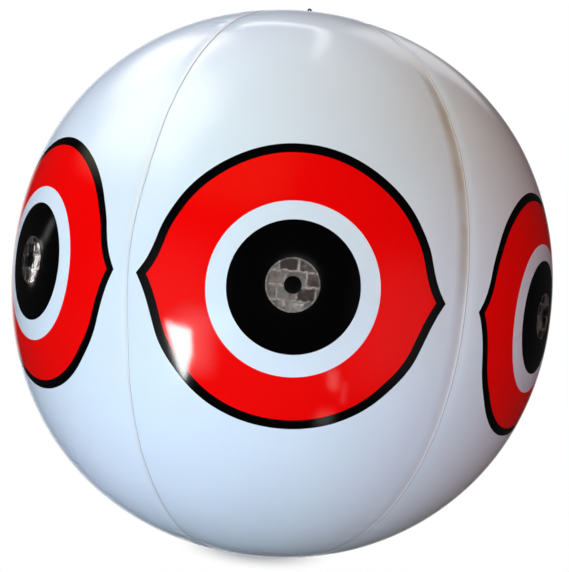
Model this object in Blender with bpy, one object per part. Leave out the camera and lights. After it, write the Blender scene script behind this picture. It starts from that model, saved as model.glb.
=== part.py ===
"""Inflatable bird scare ball, modelled full of air and hanging from its loop.

Six printed film gores are lap welded into a ball. A round cap closes each pole. The top pole holds a
moulded hang loop, and the bottom pole holds an air valve that pushes in flush. Metres, +Z up, with
the origin at the centre of the hang loop's eye.
"""

import math

import bmesh
import bpy

# Ball of film, full of air
BALL_DIAMETER = 0.406
BALL_HEIGHT = 0.408
SHOULDER_POWER = 2.1
GORE_COUNT = 6
FILM = 0.0003
FIT_GAP = 0.0003
MERGE_DISTANCE = 0.00003

# Lap welds between gores: each gore's right edge steps up and lies over the next gore
LAP_WIDTH = 0.005
LAP_STEP_WIDTH = 0.004
LAP_SIDE_GAP = 0.0006
SEAM_DIP = 0.0023
SEAM_DIP_POWER = 4
GORE_TIP_RADIUS = 0.013
SIDE_RINGS = 18
CAP_RINGS = 3
INNER_CELLS = 6

# Round caps and the disc that backs the top one
CAP_RADIUS = 0.032
CAP_FILM = 0.0004
BACKING_RADIUS = 0.024
BACKING_FILM = 0.0004
TURNED_STEPS = 36

# Foil stickers in the printed pupils
FOIL_DIAMETER = 0.0315
FOIL_HOLE_DIAMETER = 0.0103
FOIL = 0.0002
FOIL_STEPS = 32
# Where each print sits off the middle of its gore, sideways and up, as shares of the ball's diameter
EYE_DRIFT_SHARES = (
    (-0.0151, -0.0048),
    (-0.0136, -0.0122),
    (0.0040, -0.0100),
    (-0.0030, -0.0080),
    (0.0020, -0.0110),
    (0.0147, -0.0050),
)

# Hang loop, moulded in one with the flange that the top cap holds down
LOOP_EYE_WIDTH = 0.006
LOOP_EYE_STRAIGHT = 0.0054
LOOP_WIRE_DIAMETER = 0.0014
LOOP_BOSS_HEIGHT = 0.002
LOOP_BOSS_EDGE = 0.00035
LOOP_ROOT_DEPTH = 0.001
LOOP_TURN = math.radians(60)
LOOP_ARCH_CELLS = 10
LOOP_WIRE_SIDES = 8
FLANGE_SIDE_GAP = 0.0006

# Valve, along the axis through the bottom pole
VALVE_BORE_DIAMETER = 0.007
STEM_DIAMETER = 0.0094
STEM_LENGTH = 0.0126
STEM_SUNK = 0.0004
STEM_LIP = 0.0005
STEM_LIP_HEIGHT = 0.001
VALVE_HOLE_DIAMETER = 0.018
VALVE_FLANGE_DIAMETER = 0.04
VALVE_FLANGE = 0.0009
VALVE_SKIRT_WALL = 0.0009
VALVE_SKIRT_HEIGHT = 0.0014
WEB_THICKNESS = 0.0005
WEB_DEPTH = 0.006
VALVE_STEPS = 32

# Plug on its strap, and the flap inside the stem's lower end
PLUG_HEAD_DIAMETER = 0.0104
PLUG_HEAD = 0.0013
PLUG_NOSE_LENGTH = 0.0042
PLUG_NOSE_RINGS = 4
PLUG_TAB_REACH = 0.0074
PLUG_TAB_WIDTH = 0.0034
STRAP_WIDTH = 0.0036
STRAP_THICKNESS = 0.0009
PLUG_HINGE_REACH = 0.0074
PLUG_BEAD_DIAMETER = 0.0012
BEAD_LENGTH = 0.004
BEAD_STEPS = 12
LUG_WIDTH = 0.0036
LUG_THICKNESS = 0.0007
LUG_OVERHANG = 0.0008
LUG_DROP = 0.0002
FLAP_DIAMETER = 0.0086
FLAP = 0.0006
FLAP_STRAP_THICKNESS = 0.0004
FLAP_HINGE_REACH = 0.0056
FLAP_BEAD_DIAMETER = 0.0009

BALL_RADIUS = BALL_DIAMETER / 2
BALL_HALF_HEIGHT = BALL_HEIGHT / 2
BORE_RADIUS = VALVE_BORE_DIAMETER / 2
STEM_RADIUS = STEM_DIAMETER / 2
HALF_GORE = math.pi / GORE_COUNT
BOTTOM, TOP = -1, 1

# Levels are heights over the gores' outer face, which is level zero
LAP_LEVEL = FILM + FIT_GAP
CAP_UNDER_LEVEL = LAP_LEVEL + FIT_GAP
CAP_LEVEL = CAP_UNDER_LEVEL + CAP_FILM
BACKING_LEVEL = -FILM - FIT_GAP
FLANGE_LEVEL = CAP_UNDER_LEVEL - FIT_GAP
FLANGE_UNDER_LEVEL = BACKING_LEVEL + FIT_GAP

POLE_Z = -LOOP_EYE_STRAIGHT - LOOP_BOSS_HEIGHT
BALL_CENTRE = (0, 0, POLE_Z - BALL_HALF_HEIGHT)
BOTTOM_POLE = (0, 0, POLE_Z - BALL_HEIGHT)


def clear_scene():
    for item in list(bpy.data.objects):
        bpy.data.objects.remove(item, do_unlink=True)


def material(name, colour, roughness, metallic=0):
    made = bpy.data.materials.new(name)
    made.use_nodes = True
    shader = made.node_tree.nodes["Principled BSDF"]
    shader.inputs["Base Color"].default_value = (*colour, 1)
    shader.inputs["Roughness"].default_value = roughness
    shader.inputs["Metallic"].default_value = metallic
    made.diffuse_color = (*colour, 1)
    return made


def add_object(name, mesh, finish, location=(0, 0, 0), rotation=(0, 0, 0), parent=None):
    if not mesh.materials:
        mesh.materials.append(finish)
    made = bpy.data.objects.new(name, mesh)
    bpy.context.scene.collection.objects.link(made)
    made.location = location
    made.rotation_euler = rotation
    made.parent = parent
    return made


def mesh_from(name, build):
    """A mesh that the function build fills in, with every face pointing out."""
    mesh = bpy.data.meshes.new(name)
    work = bmesh.new()
    build(work)
    bmesh.ops.recalc_face_normals(work, faces=work.faces)
    work.to_mesh(mesh)
    work.free()
    mesh.shade_smooth()
    return mesh


def turned(name, outline, finish, steps, **place):
    """A closed outline of (radius, height) points, turned about Z. It runs down its outer side."""
    mesh = bpy.data.meshes.new(name)
    count = len(outline)
    edges = [(i, (i + 1) % count) for i in range(count)]
    mesh.from_pydata([(radius, 0, height) for radius, height in outline], edges, [])
    made = add_object(name, mesh, finish, **place)
    screw = made.modifiers.new("turn", "SCREW")
    screw.steps = screw.render_steps = steps
    screw.use_merge_vertices = True
    screw.merge_threshold = MERGE_DISTANCE
    return made


def cutter_or_adder(name, build, parent, finish):
    """A helper solid that a Boolean reads, left out of the finished part."""
    helper = add_object(name, mesh_from(name, build), finish, parent=parent)
    helper.hide_render = True
    helper.display_type = "WIRE"
    return helper


def join(target, helper):
    union = target.modifiers.new(helper.name, "BOOLEAN")
    union.operation = "UNION"
    union.solver = "EXACT"
    union.object = helper


def box_builder(low, high):
    def build(work):
        bmesh.ops.create_cube(work, size=1)
        for vert in work.verts:
            for axis in range(3):
                vert.co[axis] = high[axis] if vert.co[axis] > 0 else low[axis]

    return build


def side_view(latitude):
    """Radius, height and outward normal of the full ball's side view, from the ball's centre."""
    wide, high = abs(math.cos(latitude)) / BALL_RADIUS, abs(math.sin(latitude)) / BALL_HALF_HEIGHT
    reach = (wide**SHOULDER_POWER + high**SHOULDER_POWER) ** (-1 / SHOULDER_POWER)
    radius, height = reach * math.cos(latitude), reach * math.sin(latitude)
    out = (radius / BALL_RADIUS) ** (SHOULDER_POWER - 1) / BALL_RADIUS
    rise = (abs(height) / BALL_HALF_HEIGHT) ** (SHOULDER_POWER - 1) / BALL_HALF_HEIGHT
    length = math.hypot(out, rise)
    return radius, height, out / length, math.copysign(rise, height) / length


def skin_point(latitude, longitude, level):
    """A point at this level over the ball's skin. Longitude zero faces -Y, and +X is a quarter on."""
    radius, height, out, rise = side_view(latitude)
    radius, height = radius + level * out, height + level * rise
    return radius * math.sin(longitude), -radius * math.cos(longitude), height


def polar_latitude(radius):
    return math.acos(radius / BALL_HALF_HEIGHT)


def pole_point(radius, level, end):
    """(radius, height) over a pole's own level, at an end of the ball, for a turned outline."""
    across, height, out, rise = side_view(polar_latitude(radius))
    return across + level * out, end * (height + level * rise - BALL_HALF_HEIGHT)


def spread(start, stop, cells):
    return [start + (stop - start) * i / cells for i in range(cells + 1)]


def cap_radii():
    """Radii of the rings that a cap shares with the gore tips under it, so that their facets match."""
    latitudes = spread(polar_latitude(GORE_TIP_RADIUS), polar_latitude(CAP_RADIUS), CAP_RINGS)
    return [BALL_HALF_HEIGHT * math.cos(latitude) for latitude in latitudes]


def gore_latitudes():
    tip, cap = polar_latitude(GORE_TIP_RADIUS), polar_latitude(CAP_RADIUS)
    rings = spread(-tip, -cap, CAP_RINGS) + spread(-cap, cap, SIDE_RINGS)[1:]
    return rings + spread(cap, tip, CAP_RINGS)[1:]


def gore_stations(radius):
    """(longitude, level) across one gore at a ring: a flat left edge, and a right edge that steps up."""
    lap = LAP_WIDTH / 2 / radius
    step_top = HALF_GORE - lap - LAP_SIDE_GAP / radius
    step_foot = step_top - LAP_STEP_WIDTH / radius
    left = [(-HALF_GORE - lap, 0), (-HALF_GORE, 0)]
    middle = [(turn, 0) for turn in spread(lap - HALF_GORE, step_foot, INNER_CELLS)]
    right = [(turn, LAP_LEVEL) for turn in (step_top, HALF_GORE - lap, HALF_GORE, HALF_GORE + lap)]
    return left + middle + right


def seam_dip(latitude, longitude):
    """How far the skin draws in towards the nearest seam, fading out at the poles."""
    off_middle = 1 - abs(1 - abs(longitude) / HALF_GORE)
    return SEAM_DIP * off_middle**SEAM_DIP_POWER * math.cos(latitude)


def build_gore(work):
    rows = []
    for latitude in gore_latitudes():
        row = []
        for longitude, level in gore_stations(side_view(latitude)[0]):
            dipped = level - seam_dip(latitude, longitude)
            row.append(work.verts.new(skin_point(latitude, longitude, dipped)))
        rows.append(row)
    for low, high in zip(rows, rows[1:]):
        for i in range(len(low) - 1):
            work.faces.new((low[i], low[i + 1], high[i + 1], high[i]))


def gores(finish):
    mesh = mesh_from("gore", build_gore)
    for index in range(GORE_COUNT):
        turn = (0, 0, 2 * HALF_GORE * index)
        gore = add_object(f"gore_{index + 1}", mesh, finish, BALL_CENTRE, turn)
        wall = gore.modifiers.new("film", "SOLIDIFY")
        wall.thickness = FILM
        wall.offset = -1


def build_foil(work):
    """A thin ring laid on the skin round longitude zero on the equator."""
    loops = []
    under, over = FIT_GAP, FIT_GAP + FOIL
    hole, rim = FOIL_HOLE_DIAMETER / 2, FOIL_DIAMETER / 2
    for radius, level in ((hole, under), (hole, over), (rim, over), (rim, under)):
        arc = radius / BALL_RADIUS
        loop = []
        for i in range(FOIL_STEPS):
            around = 2 * math.pi * i / FOIL_STEPS
            latitude = math.asin(math.sin(arc) * math.sin(around))
            longitude = math.atan2(math.sin(arc) * math.cos(around), math.cos(arc))
            loop.append(work.verts.new(skin_point(latitude, longitude, level)))
        loops.append(loop)
    for a, b in zip(loops, loops[1:] + loops[:1]):
        for i in range(FOIL_STEPS):
            j = (i + 1) % FOIL_STEPS
            work.faces.new((a[i], a[j], b[j], b[i]))


def foil_discs(finish):
    mesh = mesh_from("foil_disc", build_foil)
    for index, (sideways, up) in enumerate(EYE_DRIFT_SHARES):
        tilt = -up * BALL_DIAMETER / BALL_RADIUS
        turn = 2 * HALF_GORE * index + sideways * BALL_DIAMETER / BALL_RADIUS
        add_object(f"foil_disc_{index + 1}", mesh, finish, BALL_CENTRE, (tilt, 0, turn))


def ring_outline(radii, over, under, end):
    """Outline of a disc with a hole that lies along the skin at a pole, between two levels."""
    top = [pole_point(radius, over, end) for radius in radii]
    bottom = [pole_point(radius, under, end) for radius in reversed(radii)]
    return top + bottom if end == TOP else [*reversed(top), *reversed(bottom)]


def caps(finish):
    loop_hole = LOOP_EYE_WIDTH / 2 + LOOP_WIRE_DIAMETER + FIT_GAP
    valve_hole = VALVE_HOLE_DIAMETER / 2 + FIT_GAP
    top = ring_outline([loop_hole, *cap_radii()], CAP_LEVEL, CAP_UNDER_LEVEL, TOP)
    bottom = ring_outline([valve_hole, *cap_radii()], CAP_LEVEL, CAP_UNDER_LEVEL, BOTTOM)
    turned("top_cap", top, finish, TURNED_STEPS, location=(0, 0, POLE_Z))
    turned("bottom_cap", bottom, finish, TURNED_STEPS, location=BOTTOM_POLE)


def top_backing(finish):
    inner = [radius for radius in cap_radii() if radius < BACKING_RADIUS]
    hole = LOOP_EYE_WIDTH / 2 + LOOP_WIRE_DIAMETER
    radii = [hole, *inner, BACKING_RADIUS]
    outline = ring_outline(radii, BACKING_LEVEL, BACKING_LEVEL - BACKING_FILM, TOP)
    turned("top_backing", outline, finish, TURNED_STEPS, location=(0, 0, POLE_Z))


def loop_path():
    """Points of the loop's centre line as (across, height, tangent angle), from one foot to the other."""
    reach = (LOOP_EYE_WIDTH + LOOP_WIRE_DIAMETER) / 2
    foot = -LOOP_EYE_STRAIGHT - LOOP_ROOT_DEPTH
    arch = [math.pi * i / LOOP_ARCH_CELLS for i in range(LOOP_ARCH_CELLS + 1)]
    over = [(-reach * math.cos(a), reach * math.sin(a), math.pi / 2 - a) for a in arch]
    return [(-reach, foot, math.pi / 2), *over, (reach, foot, -math.pi / 2)]


def build_loop(work):
    wire = LOOP_WIRE_DIAMETER / 2
    rings = []
    for across, height, tangent in loop_path():
        ring = []
        for i in range(LOOP_WIRE_SIDES):
            around = 2 * math.pi * i / LOOP_WIRE_SIDES
            side = wire * math.cos(around)
            out, rise = -side * math.sin(tangent), side * math.cos(tangent)
            ring.append(work.verts.new((across + out, wire * math.sin(around), height + rise)))
        rings.append(ring)
    for a, b in zip(rings, rings[1:]):
        for i in range(LOOP_WIRE_SIDES):
            j = (i + 1) % LOOP_WIRE_SIDES
            work.faces.new((a[i], a[j], b[j], b[i]))
    work.faces.new(rings[0])
    work.faces.new(rings[-1])


def hang_loop(finish):
    """A flange under the cap, a round boss through it and a standing loop of round section."""
    flange = GORE_TIP_RADIUS - FLANGE_SIDE_GAP
    boss = LOOP_EYE_WIDTH / 2 + LOOP_WIRE_DIAMETER
    edge, root = pole_point(flange, FLANGE_LEVEL, TOP), pole_point(boss, FLANGE_LEVEL, TOP)
    edge_under = pole_point(flange, FLANGE_UNDER_LEVEL, TOP)
    root_under = pole_point(boss, FLANGE_UNDER_LEVEL, TOP)
    outline = [
        (0, LOOP_BOSS_HEIGHT),
        (boss - LOOP_BOSS_EDGE, LOOP_BOSS_HEIGHT),
        (boss, LOOP_BOSS_HEIGHT - LOOP_BOSS_EDGE),
        (boss, root[1]),
        edge,
        edge_under,
        root_under,
        (0, FLANGE_UNDER_LEVEL),
    ]
    lifted = [(radius, height + POLE_Z) for radius, height in outline]
    made = turned("hang_loop", lifted, finish, TURNED_STEPS, rotation=(0, 0, LOOP_TURN))
    join(made, cutter_or_adder("hang_loop_wire", build_loop, made, finish))


def valve_flange(finish):
    """The ring inside the bottom cap: a thick middle under the cap, a thin rim and a short skirt."""
    hole, rim = VALVE_HOLE_DIAMETER / 2, VALVE_FLANGE_DIAMETER / 2
    middle = GORE_TIP_RADIUS - FLANGE_SIDE_GAP
    skirt = hole + VALVE_SKIRT_WALL
    under = BACKING_LEVEL - VALVE_FLANGE
    seat = pole_point(hole, FLANGE_LEVEL, BOTTOM)[1]
    skirt_top = pole_point(skirt, under, BOTTOM)[1] + VALVE_SKIRT_HEIGHT
    outline = [
        (hole, skirt_top),
        (skirt, skirt_top),
        pole_point(skirt, under, BOTTOM),
        pole_point(middle, under, BOTTOM),
        pole_point(rim, under, BOTTOM),
        pole_point(rim, BACKING_LEVEL, BOTTOM),
        pole_point(middle, BACKING_LEVEL, BOTTOM),
        pole_point(middle, FLANGE_LEVEL, BOTTOM),
        (hole, seat),
    ]
    turned("valve_flange", outline, finish, TURNED_STEPS, location=BOTTOM_POLE)


def web_heights():
    """Heights over the bottom pole of the web's outer and inner ends, on the side facing out."""
    skirt = VALVE_HOLE_DIAMETER / 2 + VALVE_SKIRT_WALL
    skirt_foot = pole_point(skirt, BACKING_LEVEL - VALVE_FLANGE, BOTTOM)[1]
    outer = skirt_foot + VALVE_SKIRT_HEIGHT - WEB_THICKNESS
    return outer, outer + WEB_DEPTH


def valve_diaphragm(finish):
    """The soft cone that joins the stem to the flange and turns inside out when the stem is pulled."""
    outer_radius, inner_radius = VALVE_HOLE_DIAMETER / 2 - FIT_GAP, STEM_RADIUS + FIT_GAP
    outer, inner = web_heights()
    outline = [
        (inner_radius, inner + WEB_THICKNESS),
        (outer_radius, outer + WEB_THICKNESS),
        (outer_radius, outer),
        (inner_radius, inner),
    ]
    turned("valve_diaphragm", outline, finish, VALVE_STEPS, location=BOTTOM_POLE)


def plug_hinge_height():
    """Height of the plug's hinge over the stem's mouth, with the bead lying on the lug."""
    return LUG_DROP - FIT_GAP - PLUG_BEAD_DIAMETER / 2


def valve_stem(finish):
    """The tube that the plug closes, with its origin at its mouth and a lug for each hinge."""
    lip = STEM_RADIUS + STEM_LIP
    outline = [
        (BORE_RADIUS, STEM_LENGTH),
        (STEM_RADIUS, STEM_LENGTH),
        (STEM_RADIUS, STEM_LIP_HEIGHT + STEM_LIP),
        (lip, STEM_LIP_HEIGHT),
        (lip, 0),
        (BORE_RADIUS, 0),
    ]
    mouth = BOTTOM_POLE[0], BOTTOM_POLE[1], BOTTOM_POLE[2] + STEM_SUNK
    stem = turned("valve_stem", outline, finish, VALVE_STEPS, location=mouth)
    inside = (BORE_RADIUS + STEM_RADIUS) / 2
    low = (inside, -LUG_WIDTH / 2, LUG_DROP)
    high = (PLUG_HINGE_REACH + LUG_OVERHANG, LUG_WIDTH / 2, LUG_DROP + LUG_THICKNESS)
    join(stem, cutter_or_adder("plug_lug", box_builder(low, high), stem, finish))
    top = STEM_LENGTH - LUG_DROP
    low = (inside, -LUG_WIDTH / 2, top - LUG_THICKNESS)
    high = (FLAP_HINGE_REACH + LUG_OVERHANG, LUG_WIDTH / 2, top)
    join(stem, cutter_or_adder("flap_lug", box_builder(low, high), stem, finish))
    return stem


def bead_builder(diameter):
    """A round hinge bead along Y, at its object's origin."""
    radius, half = diameter / 2, BEAD_LENGTH / 2

    def build(work):
        ends = []
        for side in (-1, 1):
            ring = []
            for i in range(BEAD_STEPS):
                around = 2 * math.pi * i / BEAD_STEPS
                out, rise = radius * math.cos(around), radius * math.sin(around)
                ring.append(work.verts.new((out, side * half, rise)))
            ends.append(ring)
            work.faces.new(ring)
        for i in range(BEAD_STEPS):
            j = (i + 1) % BEAD_STEPS
            work.faces.new((ends[0][i], ends[0][j], ends[1][j], ends[1][i]))

    return build


def nose_radius(depth):
    """The plug's nose at a depth into the bore, slim enough to swing out past the bore's far edge."""
    hinge_depth = depth - plug_hinge_height()
    swing = math.hypot(PLUG_HINGE_REACH + BORE_RADIUS, plug_hinge_height()) - FIT_GAP
    swept = math.sqrt(swing**2 - hinge_depth**2) - PLUG_HINGE_REACH
    return min(BORE_RADIUS - FIT_GAP, swept)


def valve_plug(finish, stem):
    """Head, nose, strap and pull tab in one moulding, with its origin on the hinge axis."""
    hinge = plug_hinge_height()
    head_under, head_over = -FIT_GAP, -FIT_GAP - PLUG_HEAD
    depths = spread(-FIT_GAP, PLUG_NOSE_LENGTH, PLUG_NOSE_RINGS)
    nose = [(nose_radius(depth), depth) for depth in reversed(depths)]
    head = PLUG_HEAD_DIAMETER / 2
    outline = [(0, PLUG_NOSE_LENGTH), *nose, (head, head_under), (head, head_over), (0, head_over)]
    shifted = [(radius, height - hinge) for radius, height in outline]
    place = (PLUG_HINGE_REACH, 0, hinge)
    bead = mesh_from("plug_bead", bead_builder(PLUG_BEAD_DIAMETER))
    plug = add_object("valve_plug", bead, finish, location=place, parent=stem)
    half = STRAP_THICKNESS / 2
    strap_low = (head / 2 - PLUG_HINGE_REACH, -STRAP_WIDTH / 2, -half)
    strap_high = (0, STRAP_WIDTH / 2, half)
    join(plug, cutter_or_adder("plug_strap", box_builder(strap_low, strap_high), plug, finish))
    axis = (-PLUG_HINGE_REACH, 0, 0)
    round_part = turned("plug_head", shifted, finish, VALVE_STEPS, location=axis, parent=plug)
    round_part.hide_render = True
    round_part.display_type = "WIRE"
    join(plug, round_part)
    tab_low = (-PLUG_HINGE_REACH - PLUG_TAB_REACH, -PLUG_TAB_WIDTH / 2, -half)
    tab_high = (-PLUG_HINGE_REACH - head / 2, PLUG_TAB_WIDTH / 2, half)
    join(plug, cutter_or_adder("plug_tab", box_builder(tab_low, tab_high), plug, finish))


def check_flap(finish, stem):
    """The disc that air pressure shuts against the stem's inner end, with its origin on its hinge."""
    hinge = STEM_LENGTH - LUG_DROP + FIT_GAP + FLAP_BEAD_DIAMETER / 2
    under = STEM_LENGTH + FIT_GAP - hinge
    radius = FLAP_DIAMETER / 2
    outline = [(0, under + FLAP), (radius, under + FLAP), (radius, under), (0, under)]
    place = (FLAP_HINGE_REACH, 0, hinge)
    bead = mesh_from("flap_bead", bead_builder(FLAP_BEAD_DIAMETER))
    flap = add_object("check_flap", bead, finish, location=place, parent=stem)
    middle, half = under + FLAP / 2, FLAP_STRAP_THICKNESS / 2
    strap_low = (radius / 2 - FLAP_HINGE_REACH, -STRAP_WIDTH / 2, middle - half)
    strap_high = (0, STRAP_WIDTH / 2, middle + half)
    join(flap, cutter_or_adder("flap_strap", box_builder(strap_low, strap_high), flap, finish))
    axis = (-FLAP_HINGE_REACH, 0, 0)
    disc = turned("flap_disc", outline, finish, VALVE_STEPS, location=axis, parent=flap)
    disc.hide_render = True
    disc.display_type = "WIRE"
    join(flap, disc)


def main():
    clear_scene()
    film = material("white_film", (0.86, 0.88, 0.92), 0.18)
    foil = material("grey_foil", (0.48, 0.46, 0.44), 0.3, 0.9)
    black = material("black_moulding", (0.02, 0.02, 0.022), 0.35)
    clear = material("milky_valve", (0.82, 0.84, 0.86), 0.3)
    gores(film)
    foil_discs(foil)
    caps(film)
    top_backing(film)
    hang_loop(black)
    valve_flange(clear)
    valve_diaphragm(clear)
    stem = valve_stem(clear)
    valve_plug(clear, stem)
    check_flap(clear, stem)


main()
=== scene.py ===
# %% [markdown]
# # An inflatable bird scare ball
#
# The ball is six printed film gores, lap welded edge over edge, with a round cap on each pole. It hangs from
# a small black loop at the top, and it is blown up through a push-in valve at the bottom. This lesson
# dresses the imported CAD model, in metres, with +Z up and the origin at the centre of the loop's eye. Every
# finer piece takes its place from the CAD node that it stands for.

import math
from functools import partialmethod

import bmesh
import bpy
import numpy as np
from mathutils import Matrix, Vector


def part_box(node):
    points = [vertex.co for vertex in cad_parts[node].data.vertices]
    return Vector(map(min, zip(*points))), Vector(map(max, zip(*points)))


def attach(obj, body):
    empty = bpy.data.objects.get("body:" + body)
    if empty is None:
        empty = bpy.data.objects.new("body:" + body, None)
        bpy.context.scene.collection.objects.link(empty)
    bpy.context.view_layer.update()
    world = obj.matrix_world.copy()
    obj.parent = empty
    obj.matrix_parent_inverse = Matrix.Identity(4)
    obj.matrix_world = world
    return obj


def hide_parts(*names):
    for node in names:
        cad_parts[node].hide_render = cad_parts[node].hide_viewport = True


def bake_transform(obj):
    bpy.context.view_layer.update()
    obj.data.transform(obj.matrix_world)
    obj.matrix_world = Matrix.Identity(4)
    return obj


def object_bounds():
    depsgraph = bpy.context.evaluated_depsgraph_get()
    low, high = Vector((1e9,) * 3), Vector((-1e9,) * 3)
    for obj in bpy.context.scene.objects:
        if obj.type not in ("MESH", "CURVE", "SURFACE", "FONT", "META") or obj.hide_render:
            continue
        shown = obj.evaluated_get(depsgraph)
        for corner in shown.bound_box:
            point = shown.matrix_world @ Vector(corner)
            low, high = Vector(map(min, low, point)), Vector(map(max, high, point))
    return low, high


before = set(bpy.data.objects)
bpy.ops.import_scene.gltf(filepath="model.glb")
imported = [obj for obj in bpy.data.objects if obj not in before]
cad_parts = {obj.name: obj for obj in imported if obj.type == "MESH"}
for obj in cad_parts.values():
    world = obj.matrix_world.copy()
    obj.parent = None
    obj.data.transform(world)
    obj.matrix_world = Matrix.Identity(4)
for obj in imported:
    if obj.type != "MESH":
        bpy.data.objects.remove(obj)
cad_bounds = [list(corner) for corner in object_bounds()]
print("CAD box", [[round(value, 4) for value in corner] for corner in cad_bounds])

# %% [markdown]
# The ball's own sizes come first, because every piece on it lies along the same skin. Seen from the side the
# full ball is a superellipse: a circle whose shoulders are pushed out a little. Its two formulas are written
# so that they serve plain numbers here and the sums of a node tree further on.

# %% Sizes of the ball
BALL_RADIUS = 0.203
BALL_HALF_HEIGHT = 0.204
SHOULDER_POWER = 2.1
FILM = 0.0003
LAP_WIDTH = 0.005
LAP_LEVEL = 0.00036
CONTACT_GAP = 0.00006
GORE_COUNT = 6
HALF_GORE = math.pi / GORE_COUNT
BALL_CENTRE = Vector((0, 0, -0.2114))
BOTTOM_POLE = BALL_CENTRE.z - BALL_HALF_HEIGHT


def skin_reach(cosine, sine):
    """How far the skin is from the ball's centre, from a latitude's cosine and sine."""
    wide, high = cosine / BALL_RADIUS, abs(sine) / BALL_HALF_HEIGHT
    return (wide**SHOULDER_POWER + high**SHOULDER_POWER) ** (-1 / SHOULDER_POWER)


def skin_normal(radius, height):
    """The outward normal's parts, away from the axis and up, at a point of the side view."""
    out = (radius / BALL_RADIUS) ** (SHOULDER_POWER - 1) / BALL_RADIUS
    rise = height * (abs(height) / BALL_HALF_HEIGHT) ** (SHOULDER_POWER - 2) / BALL_HALF_HEIGHT**2
    length = (out * out + rise * rise) ** 0.5
    return out / length, rise / length


def side_view(latitude):
    """Radius, height and outward normal of the full ball's side view, from the ball's centre."""
    cosine, sine = np.cos(latitude), np.sin(latitude)
    reach = skin_reach(cosine, sine)
    return reach * cosine, reach * sine, *skin_normal(reach * cosine, reach * sine)


radius_45, height_45 = side_view(math.radians(45))[:2]
print("reach at 45 degrees, mm", round(math.hypot(radius_45, height_45) * 1000, 1))

# %% [markdown]
# The camera stands close, about three quarters of a metre from the ball's centre and level with it, and it
# is rolled by a few degrees. The lens is the one that gives the ball its size in the frame.

# %% Camera
FRAME_WIDE, FRAME_HIGH = 569, 572
FOCAL_PIXELS = 969.8
CAMERA_DISTANCE = 3.718 * BALL_RADIUS
BALL_PIXEL = (282.11, 283.91)
YAW, PITCH, ROLL = math.radians(3.6), math.radians(-0.454), math.radians(5.827)


def add_object(name, data):
    """Puts a mesh, a camera or a lamp in the scene."""
    made = bpy.data.objects.new(name, data)
    bpy.context.scene.collection.objects.link(made)
    return made


turned_back = Matrix.Rotation(-YAW, 4, "Z") @ Matrix.Rotation(-PITCH, 4, "X") @ Matrix.Rotation(-ROLL, 4, "Y")
aside = CAMERA_DISTANCE * (BALL_PIXEL[0] - FRAME_WIDE / 2) / FOCAL_PIXELS
lift = -CAMERA_DISTANCE * (BALL_PIXEL[1] - FRAME_HIGH / 2) / FOCAL_PIXELS
camera_place = BALL_CENTRE - turned_back @ Vector((aside, CAMERA_DISTANCE, lift))

lens = bpy.data.cameras.new("photo_camera")
lens.sensor_width = 36
lens.lens = FOCAL_PIXELS * lens.sensor_width / FRAME_HIGH
camera = add_object("photo_camera", lens)
camera.matrix_world = Matrix.Translation(camera_place) @ turned_back @ Matrix.Rotation(math.pi / 2, 4, "X")
bpy.context.scene.camera = camera
bpy.context.scene.view_settings.view_transform = "Standard"
print("lens", round(lens.lens, 2), "mm, camera at", [round(value, 3) for value in camera_place])

# %% [markdown]
# Node trees here are written as sums. A Term wraps one output of a tree, and each plus, times or power adds
# the node that works it out, so that a formula for a shape or a mask reads like the formula itself. The same
# wrapper serves Geometry Nodes and materials, because both have the Math node.


# %% A helper that writes nodes as sums
def feed(node, inputs):
    """Links Terms to a node's inputs, and writes plain numbers and colours in them."""
    for key, value in inputs.items():
        if isinstance(value, Term):
            node.id_data.links.new(value.socket, node.inputs[key])
        else:
            node.inputs[key].default_value = value


def add_node(tree, kind, inputs=None, **settings):
    """Adds one node with its settings, and feeds the inputs that are named."""
    node = tree.nodes.new(kind)
    for name, value in settings.items():
        setattr(node, name, value)
    feed(node, inputs or {})
    return node


def new_term(tree, kind, inputs=None, output=0, **settings):
    """Adds one node, and gives one of its outputs as a Term."""
    return Term(add_node(tree, kind, inputs, **settings).outputs[output])


class Term:
    """One output in a node tree, with signs and functions that add a Math node each."""

    def __init__(self, socket):
        self.socket, self.tree = socket, socket.id_data

    def math(self, operation, *others, clamp=False):
        inputs = dict(enumerate((self, *others)))
        return new_term(self.tree, "ShaderNodeMath", inputs, operation=operation, use_clamp=clamp)

    def __rsub__(self, other):
        return (self * -1) + other

    def clamped(self):
        return self.math("ADD", 0, clamp=True)

    def smooth(self, start, stop):
        """Zero before start and one after stop, with a soft turn in between."""
        inputs = {"Value": self, "From Min": start, "From Max": stop}
        return new_term(self.tree, "ShaderNodeMapRange", inputs, interpolation_type="SMOOTHSTEP")

    def near(self, start, stop):
        """One up to start on either side of zero, and zero beyond stop."""
        return 1 - abs(self).smooth(start, stop)


SIGNS = {"add": "ADD", "radd": "ADD", "sub": "SUBTRACT", "mul": "MULTIPLY", "rmul": "MULTIPLY"}
SIGNS.update({"truediv": "DIVIDE", "pow": "POWER", "abs": "ABSOLUTE"})
for sign, operation in SIGNS.items():
    setattr(Term, f"__{sign}__", partialmethod(Term.math, operation))
print("a Term knows", ", ".join(SIGNS))


def hypotenuse(a, b):
    return (a * a + b * b).math("SQRT")


def blend_of(share, first, second):
    """First where share is zero, second where it is one."""
    return share * second + (1 - share) * first


def vector_of(x, y=0.0, z=0.0):
    """A vector from a Term and two more Terms or numbers."""
    return new_term(x.tree, "ShaderNodeCombineXYZ", {"X": x, "Y": y, "Z": z})


def parts_of(vector):
    return [Term(output) for output in add_node(vector.tree, "ShaderNodeSeparateXYZ", {0: vector}).outputs]


def noise_of(place, scale, detail):
    """Noise from -1 to 1 at a place."""
    inputs = {"Vector": place, "Scale": scale, "Detail": detail}
    return new_term(place.tree, "ShaderNodeTexNoise", inputs, "Fac") * 2 - 1


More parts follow.
